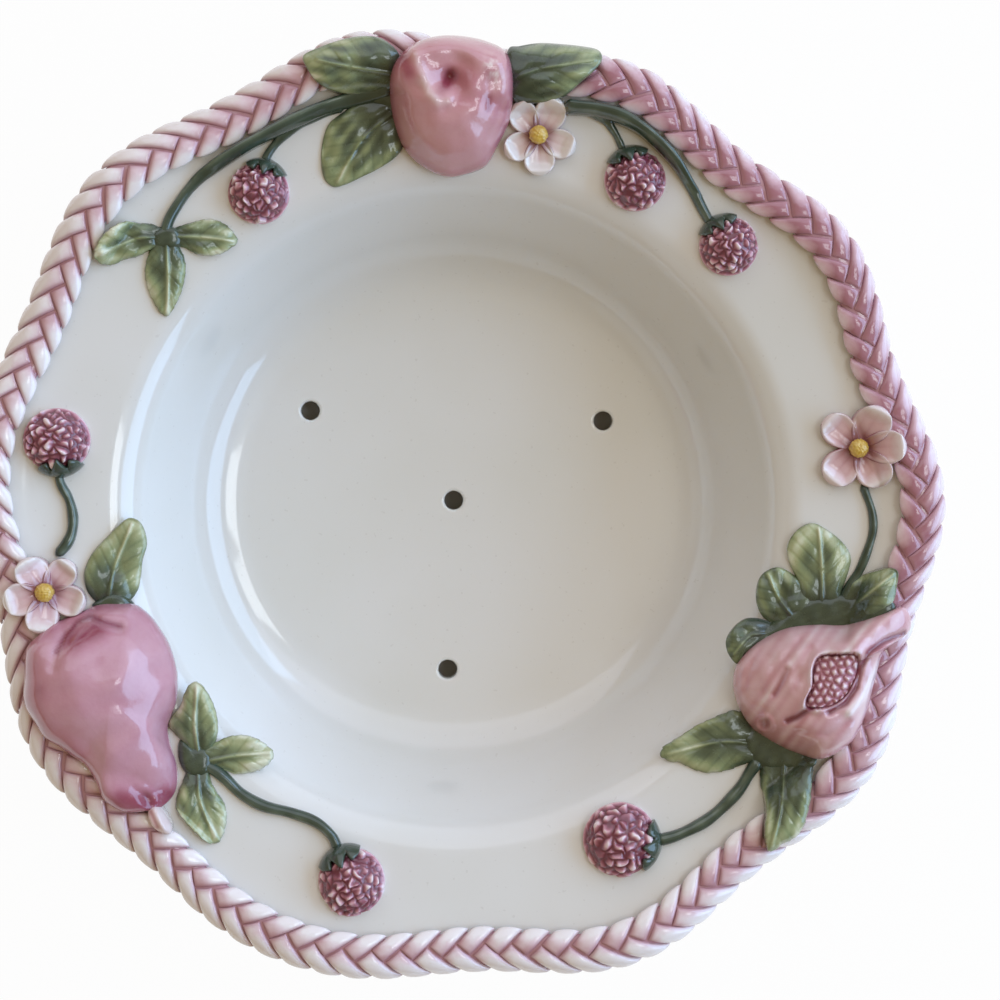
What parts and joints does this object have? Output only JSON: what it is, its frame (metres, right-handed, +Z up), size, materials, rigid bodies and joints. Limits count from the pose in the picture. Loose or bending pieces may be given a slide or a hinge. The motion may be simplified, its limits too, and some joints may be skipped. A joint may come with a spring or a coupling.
{
  "type": "berry colander bowl",
  "caption": "Round glazed bowl with drain holes in its floor and a wide scalloped rim, plaited at the edge and dressed with relief fruit, leaves and flowers.",
  "frame": {"origin": "centre of the foot ring's underside, where the bowl rests", "axes": "+Z up out of the bowl's mouth, +Y from the well's centre to the peach on the rim"},
  "size_m": [0.2889, 0.2799, 0.0835],
  "materials": {
    "body_glaze": "gloss glaze over painted clay",
    "foot_clay": "unglazed foot, smooth and matt",
    "plait_glaze": "gloss glaze over painted clay",
    "peach": "gloss glaze over painted clay",
    "pear": "gloss glaze over painted clay",
    "pomegranate": "gloss glaze over painted clay",
    "seeds": "gloss glaze over painted clay",
    "leaf": "gloss glaze over painted clay",
    "stem": "gloss glaze over painted clay",
    "berry": "gloss glaze over painted clay",
    "calyx": "gloss glaze over painted clay",
    "petal": "gloss glaze over painted clay",
    "flower_eye": "gloss glaze over painted clay"
  },
  "bodies": {
    "root": {"bowl_body": "body_glaze", "foot_ring": "foot_clay", "plait_1": "plait_glaze", "plait_2": "plait_glaze", "plait_3": "plait_glaze", "peach": "peach", "pear": "pear", "pomegranate": "pomegranate", "pomegranate_seeds": "seeds", "leaf_1": "leaf", "leaf_2": "leaf", "leaf_3": "leaf", "leaf_4": "leaf", "leaf_5": "leaf", "leaf_6": "leaf", "leaf_7": "leaf", "leaf_8": "leaf", "leaf_9": "leaf", "leaf_10": "leaf", "leaf_11": "leaf", "leaf_12": "leaf", "leaf_13": "leaf", "leaf_14": "leaf", "leaf_15": "leaf", "leaf_16": "leaf", "stem_1": "stem", "stem_2": "stem", "stem_3": "stem", "stem_4": "stem", "stem_5": "stem", "stem_6": "stem", "stem_7": "stem", "stem_8": "stem", "berry_1": "berry", "berry_2": "berry", "berry_3": "berry", "berry_4": "berry", "berry_5": "berry", "berry_6": "berry", "calyx_1": "calyx", "calyx_2": "calyx", "calyx_3": "calyx", "calyx_4": "calyx", "calyx_5": "calyx", "calyx_6": "calyx", "flower_1": "petal", "flower_2": "petal", "flower_3": "petal", "flower_eye_1": "flower_eye", "flower_eye_2": "flower_eye", "flower_eye_3": "flower_eye"}
  },
  "joints": []
}
